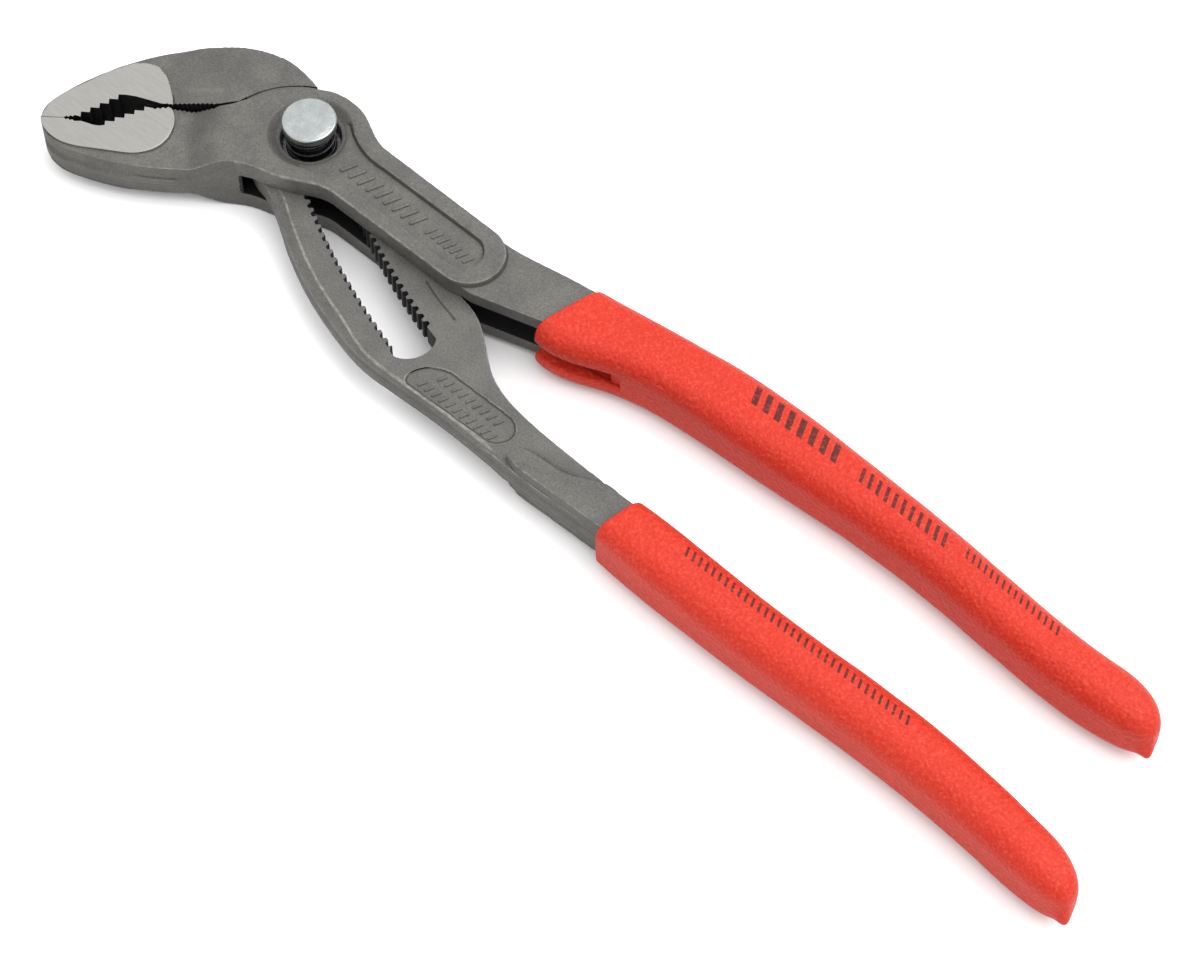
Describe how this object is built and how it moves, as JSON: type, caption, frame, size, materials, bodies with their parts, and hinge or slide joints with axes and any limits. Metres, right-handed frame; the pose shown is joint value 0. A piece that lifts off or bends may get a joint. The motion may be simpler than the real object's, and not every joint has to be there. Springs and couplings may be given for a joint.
{
  "type": "tongue and groove pliers",
  "caption": "Push-button tongue and groove pliers: toothed jaws, a curved toothed slot for setting the jaw width, and dipped plastic grips.",
  "frame": {"origin": "on the joint bolt's axis, at the height of the underside of the joint box", "axes": "+X from the jaws to the handle ends, +Y towards the upper jaw's back and the outer handle, +Z along the bolt towards the push button"},
  "size_m": [0.2466, 0.0552, 0.018],
  "materials": {
    "forged_steel": "phosphated grey forging, fine grain",
    "chromed_steel": "bright nickel-chrome plate",
    "spring_steel": "bright spring wire",
    "dipped_plastic": "red dip-moulded plastic with a fine orange-peel texture"
  },
  "bodies": {
    "outer_half": {"outer_lever": "forged_steel", "outer_grip": "dipped_plastic"},
    "pivot": {"spring_seat": "spring_steel", "button_spring": "spring_steel"},
    "inner_half": {"inner_lever": "forged_steel", "inner_grip": "dipped_plastic"},
    "push_bolt": {"joint_bolt": "chromed_steel", "push_button": "chromed_steel"}
  },
  "joints": [
    {"name": "jaw_hinge", "type": "hinge", "parent": "outer_half", "child": "pivot", "pos_m": [0, 0, 0.007], "axis": [0, 0, -1], "range_deg": [0, 25]},
    {"name": "size_setting", "type": "hinge", "parent": "pivot", "child": "inner_half", "pos_m": [0.09339, 0.12621, 0.007], "axis": [0, 0, -1], "range_deg": [0, 16.4]},
    {"name": "button_press", "type": "slide", "parent": "pivot", "child": "push_bolt", "axis": [0, 0, 1], "range_m": [-0.003, 0], "stiffness_N_per_m": 1500, "springref_m": 0.002, "deforming": ["button_spring"]}
  ]
}
